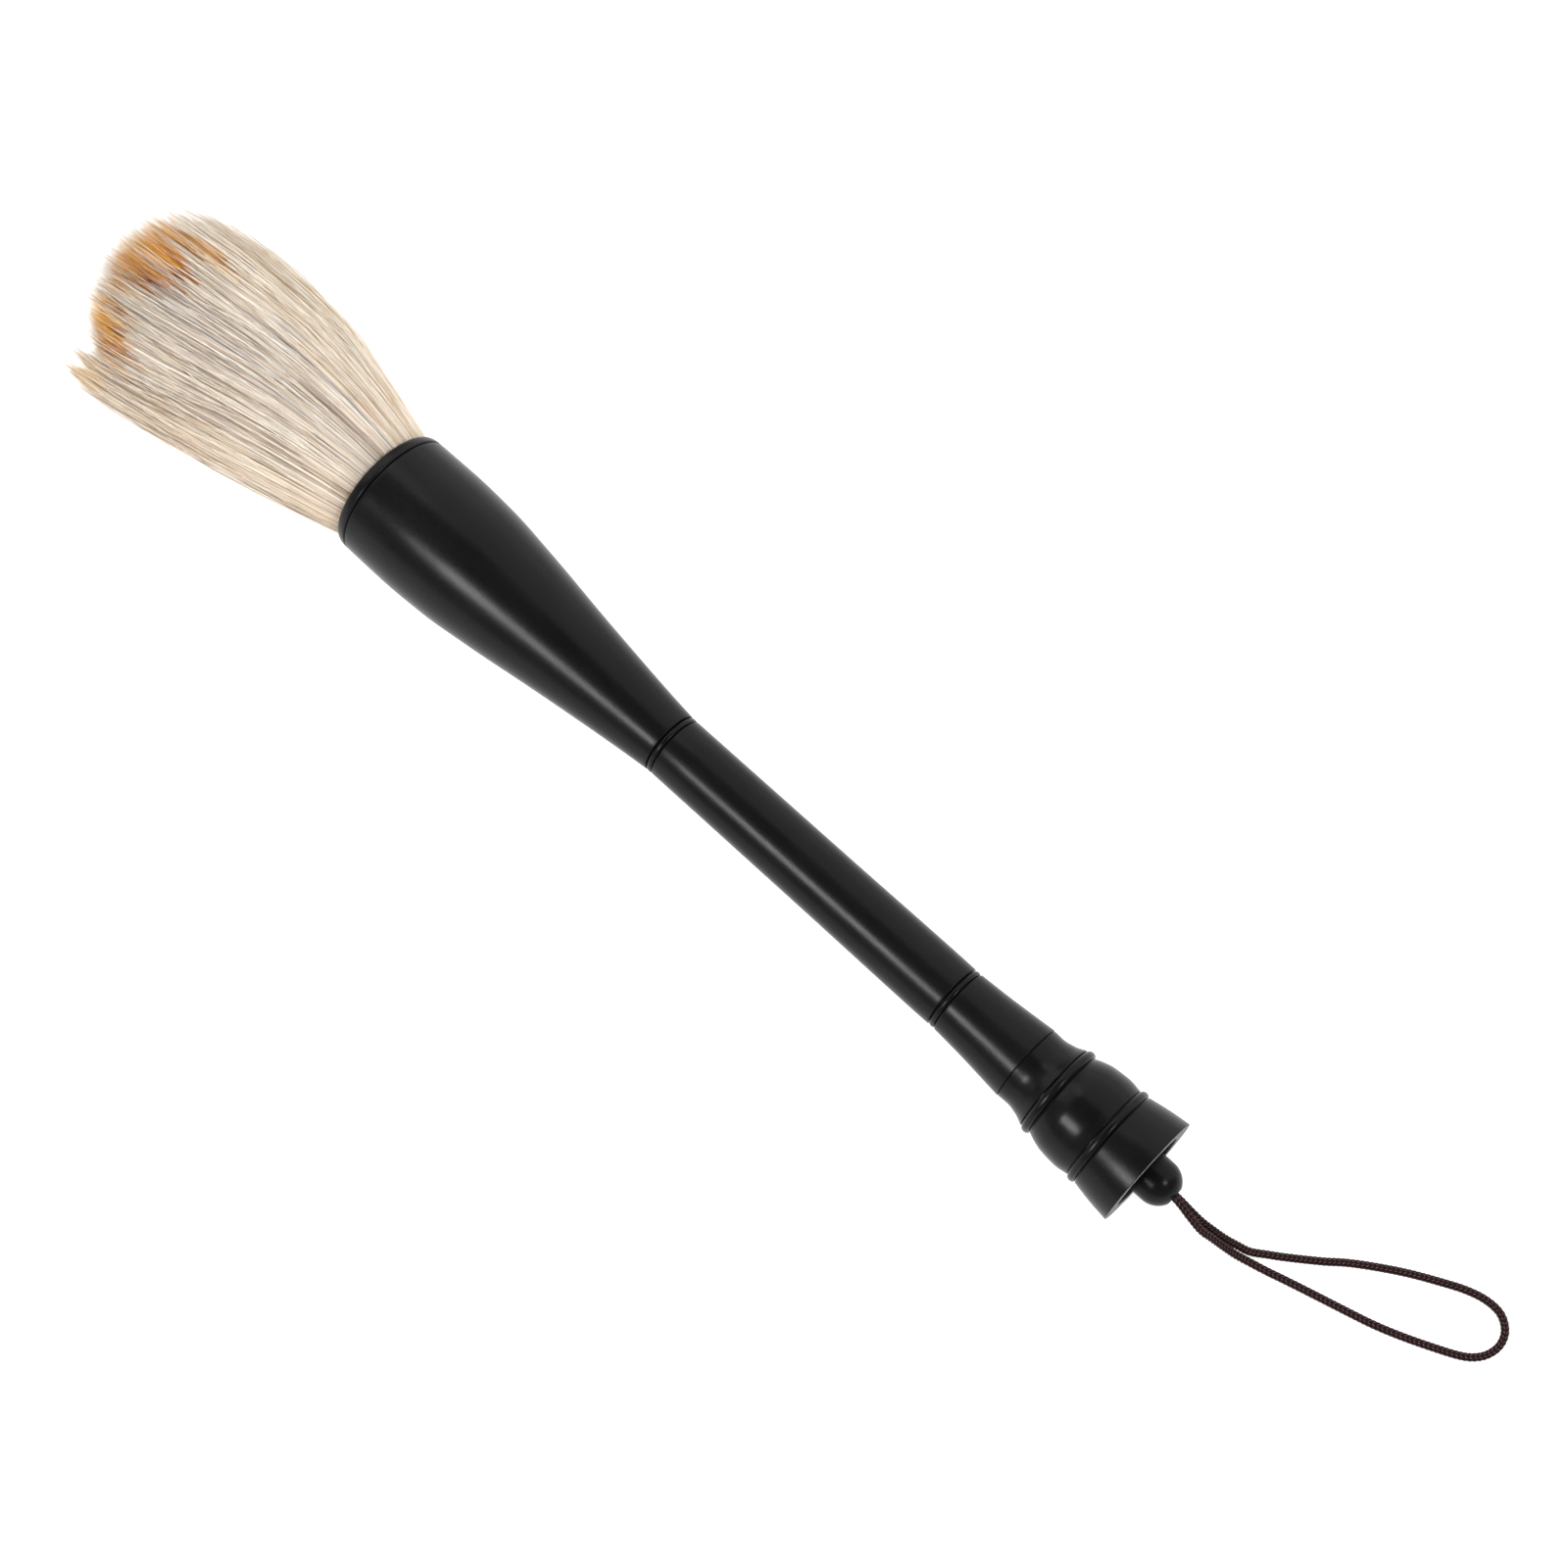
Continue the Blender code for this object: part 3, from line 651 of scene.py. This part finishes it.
def hair_paths(count, shallowest, deepest, clumps):
    """Centrelines of that many hairs, as (count, points, 3) in axis millimetres, with each one's
    clump and how far out in that clump it grows, from 0 to 1."""
    centres, places = scatter(clumps, shallowest, deepest), scatter(count, shallowest, deepest)
    owner = nearest_clump(places, centres)
    gap = centres[owner] - places
    outward = np.linalg.norm(gap, axis=1)
    widest = np.zeros(clumps)
    np.maximum.at(widest, owner, outward)
    outward = outward / np.maximum(widest[owner], TOUCHING)

    fanned = places + random.normal(0, CLUMP_STRAY, (clumps, 2))[owner]
    fanned = fanned + random.normal(0, HAIR_STRAY, (count, 2))
    start_angle, depth = to_polar(places)
    fanned_angle, fanned_depth = to_polar(fanned)
    gathered_angle, gathered_depth = to_polar(fanned + GATHERING * gap)
    crossing = random.uniform(size=count) < CROSSING_SHARE
    lean = TOP_LEAN * np.clip(np.sin(start_angle), 0, 1)
    lean += np.where(crossing, random.normal(0, CROSSING_LEAN, count), 0.0)
    end_angle = gathered_angle + lean
    thinned = 1.0 - SIDE_THINNING * random.uniform(size=count) * np.clip(np.cos(end_angle), 0, 1)
    outermost = deepest + 0.01

    cuts = np.minimum(random.gamma(2.0, 1.0, count), MOST_CUT) + LEAST_CUT
    cuts += random.normal(0, CLUMP_CUT, clumps)[owner] + CLUMP_EDGE_CUT * outward
    end = end_stations(end_angle, np.clip(gathered_depth, 0.0, outermost) * thinned, cuts)
    start = ROOT + random.uniform(0, ROOT_SPREAD, count)
    stations = start[:, None] + (end - start)[:, None] * SHARES[None, :]

    turned = smooth_step(SHARES, 0.0, 1.05)[None, :]
    gathering = smooth_step(SHARES, 0.55, 1.0)[None, :]
    turn_by = shorter_way(fanned_angle + lean - start_angle)
    gather_by = shorter_way(gathered_angle - fanned_angle)
    angles = start_angle[:, None] + turn_by[:, None] * turned + gather_by[:, None] * gathering
    deepen_by = np.clip(fanned_depth, 0.0, outermost) * thinned - depth
    depths = depth[:, None] + deepen_by[:, None] * turned
    depths = depths + (gathered_depth - fanned_depth)[:, None] * gathering
    side, lift = in_tuft(stations, angles, depths)

    fade = smooth_step(SHARES, 0.0, 0.55)[None, :]
    clump_phase = random.uniform(0, 2 * pi, (clumps, 2))
    clump_swing = random.normal(0, CLUMP_SWING, (clumps, 2))
    for k, offset in enumerate((side, lift)):
        swing_at = stations / SWING_LENGTH + clump_phase[owner, k][:, None]
        offset += fade * clump_swing[owner, k][:, None] * np.sin(swing_at)
        wander = random.normal(0, HAIR_WANDER, (count, 1))
        wander_at = stations / random.uniform(*WANDER_LENGTHS, (count, 1))
        offset += fade * wander * np.sin(wander_at + random.uniform(0, 2 * pi, (count, 1)))
    loose = random.uniform(size=count) < FLYAWAY_SHARE
    flyaway = np.where(loose, random.uniform(0.4, 1.0, count), 0.0)
    bow = flyaway[:, None] * smooth_step(SHARES, 0.45, 1.0)[None, :]
    side += bow * (FLYAWAY_OUT * np.cos(end_angle)[:, None] + random.normal(0, 1.0, (count, 1)))
    lift += bow * FLYAWAY_LIFT * np.sin(end_angle)[:, None]
    return np.stack([-stations, side, lift], axis=2), owner, outward


def to_world(points):
    return points @ axis_matrix[:3, :3].T + axis_matrix[:3, 3]


# How thick a layer of hair is pressed together on the table, in metres.
PRESSED_LAYER = 0.0016


def rest_on_table(world, floor):
    """Presses what would reach below the table into a thin layer just above it."""
    above = world[..., 2] - floor
    sunk = np.minimum(0.0, above - PRESSED_LAYER)
    pressed = PRESSED_LAYER * np.exp(sunk / (2.5 * PRESSED_LAYER))
    world[..., 2] = floor + np.where(above < PRESSED_LAYER, pressed, above)
    return world


def hair_mesh(name, paths, radii, finishes):
    """Three-sided tapering hairs, closed at both ends. Each of their segments has a finish."""
    count, points, _ = paths.shape
    spans = points - 2
    tangents = np.gradient(paths, axis=1)
    tangents /= np.linalg.norm(tangents, axis=2)[..., None]
    across = np.cross(tangents, (0.0, 0.0, 1.0))
    across /= np.linalg.norm(across, axis=2)[..., None]
    lift = np.cross(across, tangents)
    angles = random.uniform(0, 2 * pi, (count, 1, 1)) + np.arange(3)[None, None, :] * 2 * pi / 3
    rings = paths[:, :, None, :] + radii[:, :, None, None] * (
        np.cos(angles)[..., None] * across[:, :, None, :] + np.sin(angles)[..., None] * lift[:, :, None, :]
    )
    vertices = np.concatenate([rings[:, :-1].reshape(count, -1, 3), paths[:, -1:, :]], axis=1)
    quads = np.array([
        (3 * i + j, 3 * i + (j + 1) % 3, 3 * i + 3 + (j + 1) % 3, 3 * i + 3 + j)
        for i in range(spans) for j in range(3)
    ])
    last = 3 * spans
    triangles = np.array([(2, 1, 0)] + [(last + j, last + (j + 1) % 3, last + 3) for j in range(3)])
    shift = (np.arange(count) * vertices.shape[1])[:, None]
    corners = np.concatenate([quads.reshape(1, -1) + shift, triangles.reshape(1, -1) + shift], axis=1)
    sizes = np.tile([4] * len(quads) + [3] * len(triangles), count)
    slots = np.concatenate([
        np.repeat(finishes[:, :spans], 3, axis=1), finishes[:, :1], np.repeat(finishes[:, -1:], 3, axis=1),
    ], axis=1)
    mesh = bpy.data.meshes.new(name)
    mesh.vertices.add(vertices.shape[0] * vertices.shape[1])
    mesh.vertices.foreach_set("co", vertices.astype(np.float32).ravel())
    mesh.loops.add(corners.size)
    mesh.loops.foreach_set("vertex_index", corners.astype(np.int32).ravel())
    mesh.polygons.add(len(sizes))
    mesh.polygons.foreach_set("loop_start", np.concatenate([[0], np.cumsum(sizes)[:-1]]).astype(np.int32))
    mesh.polygons.foreach_set("material_index", slots.astype(np.int32).ravel())
    mesh.polygons.foreach_set("use_smooth", np.ones(len(sizes), bool))
    mesh.update(calc_edges=True)
    mesh.validate()
    return mesh


CREAMS = [
    (150, 132, 116), (178, 160, 142), (204, 186, 166), (220, 203, 184), (231, 215, 197), (239, 226, 209),
    (246, 236, 221), (252, 246, 236),
]
WARMS = [(226, 202, 172), (238, 218, 192), (246, 230, 208), (252, 241, 225)]
GREYS = [(190, 176, 168), (214, 202, 194)]
ORANGES = [(252, 230, 190), (248, 210, 142), (242, 184, 88), (226, 150, 46)]
BROWNS = [(190, 108, 40), (134, 70, 34)]
hair_finishes = [
    new_material(f"hair_{i:02d}", srgb(*colour), 0.45, specular=0.35)[0]
    for i, colour in enumerate(CREAMS + WARMS + GREYS + ORANGES + BROWNS)
]
FIRST_WARM = len(CREAMS)
FIRST_GREY = FIRST_WARM + len(WARMS)
FIRST_ORANGE = FIRST_GREY + len(GREYS)
FIRST_BROWN = FIRST_ORANGE + len(ORANGES)


# Tones are places in CREAMS. What they are on average, how much clumps, hairs and a hair's segments
# vary, how much darker a clump's edge is with painted shade from the gaps between clumps, and how much
# darker the root and one hair in so many are.
TONE, CLUMP_TONE, HAIR_TONE, SEGMENT_TONE = 5.15, 0.2, 1.9, 0.9
CLUMP_EDGE_SHADE, ROOT_DARKER, DARK_HAIR_DARKER, DARK_SHARE = 0.5, 1.2, 3.0, 0.14
# Across the tuft: how much lighter the hair is, as painted light that brightens it towards +Y and darkens it
# towards -Y, and the share of it that is warm.
PAINTED_LIGHT_ACROSS = [(-28.0, -0.7), (-14.0, 0.1), (0.0, 0.1), (10.0, 1.4), (20.0, 3.2)]
WARM_ACROSS = [(-30.0, 0.35), (-22.0, 0.10), (2.0, 0.10), (12.0, 0.75)]
# Grey hairs: their share in the middle, where that is, and how wide a stretch they fill.
GREY_SHARE, GREY_MIDDLE, GREY_WIDTH = 0.24, -4.0, 12.0
# The dye: the share of DYE's hairs that take it, how ragged its start is by clump and hair, how far
# its end lies past DYE's and how ragged it is, how wide its brown edge is, and where it is paler.
DYE_TAKEN = 0.84
CLUMP_RAGGED, HAIR_RAGGED = 1.4, 1.8
DYE_END_PAST, DYE_END_RAGGED = 1.2, 1.3
BROWN_WIDTH = 5.5
PALE_BELOW = -22.0
BLEACHED_SHARE = 0.6


def chance(count, share):
    """For each hair, whether it falls in the share."""
    return random.uniform(size=(count, 1)) < share


def cream_finish(count, segments, tip_across, owner, outward):
    """The finish of hairs without dye: creams by tone, with warm and grey hairs among them."""
    tone = TONE + random.normal(0, CLUMP_TONE, owner.max() + 1)[owner] + random.normal(0, HAIR_TONE, count)
    dark = random.uniform(size=count) < DARK_SHARE
    # Painted shade: hairs towards a clump's edge are darker, as the gaps between clumps are shaded.
    tone -= CLUMP_EDGE_SHADE * outward**2 + np.where(dark, DARK_HAIR_DARKER, 0.0)
    tone = tone[:, None] + random.normal(0, SEGMENT_TONE, (count, segments))
    # Painted light: hairs towards +Y are made lighter and those towards -Y darker.
    tone += table_column(PAINTED_LIGHT_ACROSS, 1, tip_across)
    tone -= ROOT_DARKER * (1.0 - smooth_step(SHARES[:-1], 0.0, 0.35))[None, :]
    base = np.clip(np.round(tone), 0, len(CREAMS) - 1).astype(int)
    warm = chance(count, table_column(WARM_ACROSS, 1, tip_across))
    warmed = FIRST_WARM + np.clip(base - (len(CREAMS) - len(WARMS)), 0, len(WARMS) - 1)
    base = np.where(warm, warmed, base)
    grey = chance(count, GREY_SHARE * np.exp(-((tip_across - GREY_MIDDLE) / GREY_WIDTH) ** 2))
    return np.where(grey, FIRST_GREY + random.integers(0, len(GREYS), (count, 1)), base)


def colour_hair(paths, owner, outward):
    """The finish of each hair's segments: cream, with dye that starts and ends in ragged bands."""
    count, segments = paths.shape[0], paths.shape[1] - 1
    tip_across = (paths[:, -1, 1] + TIP_SKEW * paths[:, -1, 2])[:, None]
    base = cream_finish(count, segments, tip_across, owner, outward)

    middle = (paths[:, 1:] + paths[:, :-1]) / 2
    lift = np.maximum(middle[..., 2], -axis_height(-middle[..., 0]))
    across = middle[..., 1] + TIP_SKEW * lift
    past_mouth = -middle[..., 0] + TIP_SLANT * lift - MOUTH
    ragged = random.normal(0, CLUMP_RAGGED, owner.max() + 1)[owner] + random.normal(0, HAIR_RAGGED, count)
    starts = table_column(DYE, 1, across) + ragged[:, None]
    stops = table_column(DYE, 2, across) + random.normal(DYE_END_PAST, DYE_END_RAGGED, (count, 1))
    takes = chance(count, DYE_TAKEN * table_column(DYE, 3, across))
    dyed = takes & (past_mouth > starts) & (past_mouth < stops)
    brown = dyed & (past_mouth < starts + BROWN_WIDTH) & chance(count, table_column(DYE, 4, across))
    pale, strong = random.integers(0, 3, (count, 1)), random.integers(1, len(ORANGES), (count, 1))
    finish = np.where(dyed, FIRST_ORANGE + np.where(across < PALE_BELOW, pale, strong), base)
    finish = np.where(brown, FIRST_BROWN + random.integers(0, len(BROWNS), (count, 1)), finish)
    bleached = (past_mouth >= stops) & chance(count, BLEACHED_SHARE)
    return np.where(bleached, len(CREAMS) - 1 - random.integers(0, 3, (count, 1)), finish)


HAIRS_PER_PIECE = 3300
HAIR_RADII = (0.06, 0.14)
# Shares of a hair's length and of its radius.
HAIR_TAPER = [(0.0, 0.9), (0.1, 1.0), (0.72, 0.9), (0.9, 0.62), (1.0, 0.15)]
# Metres above the table: the lowest hair's centreline, and how far others may lie above that.
LOWEST_HAIR, HAIR_BED = 0.0002, 0.0008


def grow_hair(name, shallowest, deepest, clumps, node, slot):
    """One piece of the tuft, with hairs that grow between two depths in the tuft's section."""
    count = HAIRS_PER_PIECE
    paths, owner, outward = hair_paths(count, shallowest, deepest, clumps)
    finishes = colour_hair(paths, owner, outward)
    world = rest_on_table(to_world(paths), LOWEST_HAIR + random.uniform(0, HAIR_BED, (count, 1)))
    thickness = random.uniform(*HAIR_RADII, (count, 1)) * MM
    radii = thickness * table_column(HAIR_TAPER, 1, SHARES)[None, :]
    mesh = hair_mesh(name, world, radii, finishes)
    for finish in hair_finishes:
        mesh.materials.append(finish)
    return place(name, mesh, "brush", slot, [node])


for i in range(4):
    grow_hair(f"mantle_hair_{i}", 0.88, 1.0, 260, "tuft_mantle", "goat_hair")
for i in range(3):
    grow_hair(f"core_hair_{i}", 0.0, 0.92, 300, "tuft_core", "core_hair")

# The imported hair: its stations, where it starts to close, and how deep in the tuft it lies.
UNDERLAY_START, UNDERLAY_END = 226.4, 303.0
CLOSING_FROM, CLOSING_LENGTH = 258.0, 46.0
UNDERLAY_DEPTH = 0.91
UNDERLAY_RINGS, UNDERLAY_AROUND = 60, 96


def make_underlay():
    """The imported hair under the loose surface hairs, so that no gap shows through the tuft."""
    made, tree, shader = new_material("packed_hair", srgb(206, 190, 166), 0.6)
    streaks = noise_along(tree, 30.0, 4200.0)
    tone = ramp(tree, streaks, [(0.3, srgb(160, 142, 120)), (0.7, srgb(214, 198, 174))])
    tree.links.new(tone, shader.inputs["Base Color"])
    bump(tree, shader, streaks, 0.8, 0.0003)
    rings = []
    around = UNDERLAY_AROUND
    angles = np.arange(around) * 2 * pi / around
    for station in np.linspace(UNDERLAY_START, UNDERLAY_END, UNDERLAY_RINGS):
        closed = max(0.0, station - CLOSING_FROM) / CLOSING_LENGTH
        depth = UNDERLAY_DEPTH * sqrt(max(0.0, 1 - closed**2)) + 0.01
        side, lift = in_tuft(np.full(around, station), angles, np.full(around, depth))
        rings.append(np.stack([np.full(around, -station), side, lift], axis=1))
    world = rest_on_table(to_world(np.array(rings)), PRESSED_LAYER)
    faces = []
    for i in range(len(rings) - 1):
        for j in range(around):
            k = (j + 1) % around
            faces.append((i * around + j, (i + 1) * around + j, (i + 1) * around + k, i * around + k))
    faces.append(tuple(range(around)))
    last = (len(rings) - 1) * around
    faces.append(tuple(reversed(range(last, last + around))))
    mesh = bpy.data.meshes.new("packed_hair")
    mesh.from_pydata(world.reshape(-1, 3).tolist(), [], faces)
    mesh.shade_smooth()
    place("packed_hair", mesh, "brush", "goat_hair", ["tuft_mantle", "tuft_core"], made)


make_underlay()


# ---------------------------------------------------------------- table and light


TABLE_HALF = 4.0
TABLE_GLOW = 0.82


def add_table():
    """A plain white table that glows a little, so that it stays white under the dark brush."""
    made, tree, shader = new_material("white_table", (0.42, 0.42, 0.42, 1.0), 0.7)
    shader.inputs["Emission Color"].default_value = (1.0, 1.0, 1.0, 1.0)
    shader.inputs["Emission Strength"].default_value = TABLE_GLOW
    mesh = bpy.data.meshes.new("table_top")
    corners = [(-1, -1), (1, -1), (1, 1), (-1, 1)]
    mesh.from_pydata([(TABLE_HALF * x, TABLE_HALF * y, 0) for x, y in corners], [], [(0, 1, 2, 3)])
    mesh.materials.append(made)
    table = bpy.data.objects.new("table_top", mesh)
    bpy.context.scene.collection.objects.link(table)


def add_panel(name, direction, distance, width, height, strength, target=(0.0, 0.0, 0.0),
              turn_to=(1.0, 0.0, 0.0), shape="RECTANGLE"):
    """A soft light, metres and watts, towards that direction from the target. Its width is along
    turn_to."""
    light = bpy.data.lights.new(name, "AREA")
    light.shape = shape
    light.size, light.size_y = width, height
    light.energy = strength
    made = bpy.data.objects.new(name, light)
    made.matrix_world = facing(
        Vector(target) + distance * Vector(direction).normalized(), direction, turn_to,
    )
    bpy.context.scene.collection.objects.link(made)


def add_world():
    """A studio that is light near the horizon and darker overhead."""
    world = bpy.data.worlds.new("studio")
    world.use_nodes = True
    tree = world.node_tree
    coordinates = tree.nodes.new("ShaderNodeTexCoord")
    parts = tree.nodes.new("ShaderNodeSeparateXYZ")
    tree.links.new(coordinates.outputs["Generated"], parts.inputs["Vector"])
    sky = ramp(tree, parts.outputs["Z"], [
        (0.0, (0.62, 0.62, 0.62, 1.0)), (0.12, (0.50, 0.50, 0.50, 1.0)), (0.5, (0.34, 0.34, 0.35, 1.0)),
        (0.85, (0.15, 0.15, 0.15, 1.0)), (1.0, (0.08, 0.08, 0.08, 1.0)),
    ])
    tree.links.new(sky, tree.nodes["Background"].inputs["Color"])
    tree.nodes["Background"].inputs["Strength"].default_value = 1.0
    bpy.context.scene.world = world


add_table()
add_world()
add_panel("key", (-0.12, -0.73, 0.66), 1.3, 0.48, 0.34, 11.5, shape="ELLIPSE")
add_panel("window", (-0.42, 0.21, 0.88), 1.5, 0.34, 0.26, 0.6)
add_panel("tail_glint", (0.54, 0.08, 0.84), 1.2, 0.26, 0.26, 4.0, target=END_FACE, shape="ELLIPSE")
add_panel("tuft_fill", (-0.75, 0.05, 0.65), 1.4, 1.2, 0.9, 5.6, turn_to=(0.0, 1.0, 0.0))
add_panel("wall", (0.0, 0.77, 0.64), 1.5, 2.6, 2.2, 22.0)

bpy.context.scene.view_settings.view_transform = "Standard"
